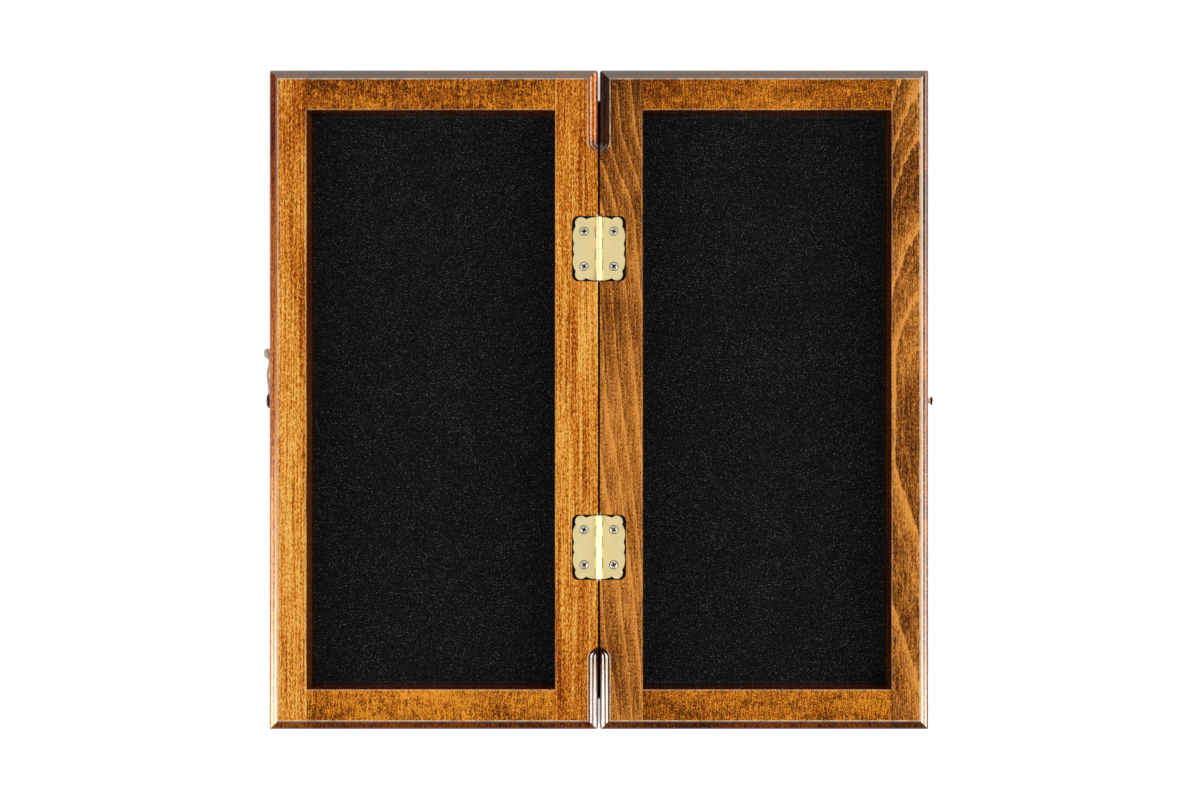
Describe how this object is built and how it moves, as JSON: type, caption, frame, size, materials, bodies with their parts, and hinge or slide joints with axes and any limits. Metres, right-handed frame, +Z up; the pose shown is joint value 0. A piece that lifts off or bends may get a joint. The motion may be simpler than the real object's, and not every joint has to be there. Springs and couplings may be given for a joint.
{
  "type": "folding chess board box",
  "caption": "Folding wooden chess board lying open as a two-tray box, felt floors up, playing face down, with let-in hinges along the fold and a swinging hook latch",
  "frame": {"origin": "on the ground under the middle of the fold, in the plane of the playing face, with the board open", "axes": "+X to the right across the fold, +Y to the rear along the fold, +Z up out of the open trays"},
  "size_m": [0.3179, 0.312, 0.0277],
  "materials": {
    "honey_stile": "honey stain under clear gloss lacquer",
    "walnut_stile": "walnut stain with figured grain under clear gloss lacquer",
    "amber_rail": "amber stain under clear gloss lacquer",
    "plywood": "bare birch plywood",
    "light_veneer": "pale veneer under satin lacquer",
    "dark_veneer": "dark veneer under satin lacquer",
    "black_felt": "black felt",
    "hinge_brass": "pale satin plate",
    "pin_steel": "drawn wire",
    "screw_steel": "bright zinc plate",
    "dark_screw": "dark oxide",
    "latch_brass": "polished brass"
  },
  "bodies": {
    "left_half": {"left_outer_stile": "honey_stile", "left_fold_stile": "honey_stile", "left_rear_rail": "amber_rail", "left_front_rail": "amber_rail", "left_panel": "plywood", "left_felt": "black_felt", "left_light_squares": "light_veneer", "left_dark_squares": "dark_veneer", "left_border": "dark_veneer", "left_stringing": "light_veneer", "rear_hinge_left_leaf": "hinge_brass", "rear_hinge_pin": "pin_steel", "front_hinge_left_leaf": "hinge_brass", "front_hinge_pin": "pin_steel", "left_hinge_screws": "screw_steel", "latch_pivot_screw": "dark_screw", "latch_washer": "dark_screw"},
    "right_half": {"right_outer_stile": "walnut_stile", "right_fold_stile": "walnut_stile", "right_rear_rail": "amber_rail", "right_front_rail": "amber_rail", "right_panel": "plywood", "right_felt": "black_felt", "right_light_squares": "light_veneer", "right_dark_squares": "dark_veneer", "right_border": "dark_veneer", "right_stringing": "light_veneer", "rear_hinge_right_leaf": "hinge_brass", "front_hinge_right_leaf": "hinge_brass", "right_hinge_screws": "screw_steel", "catch_screw": "dark_screw"},
    "hook": {"latch_hook": "latch_brass", "latch_knob": "latch_brass"}
  },
  "joints": [
    {"name": "fold", "type": "hinge", "parent": "left_half", "child": "right_half", "pos_m": [0, 0, 0.02615], "axis": [0, -1, 0], "range_deg": [0, 180]},
    {"name": "latch_swing", "type": "hinge", "parent": "left_half", "child": "hook", "pos_m": [-0.156, -0.0005, 0.017], "axis": [1, 0, 0], "range_deg": [-30, 90]}
  ]
}
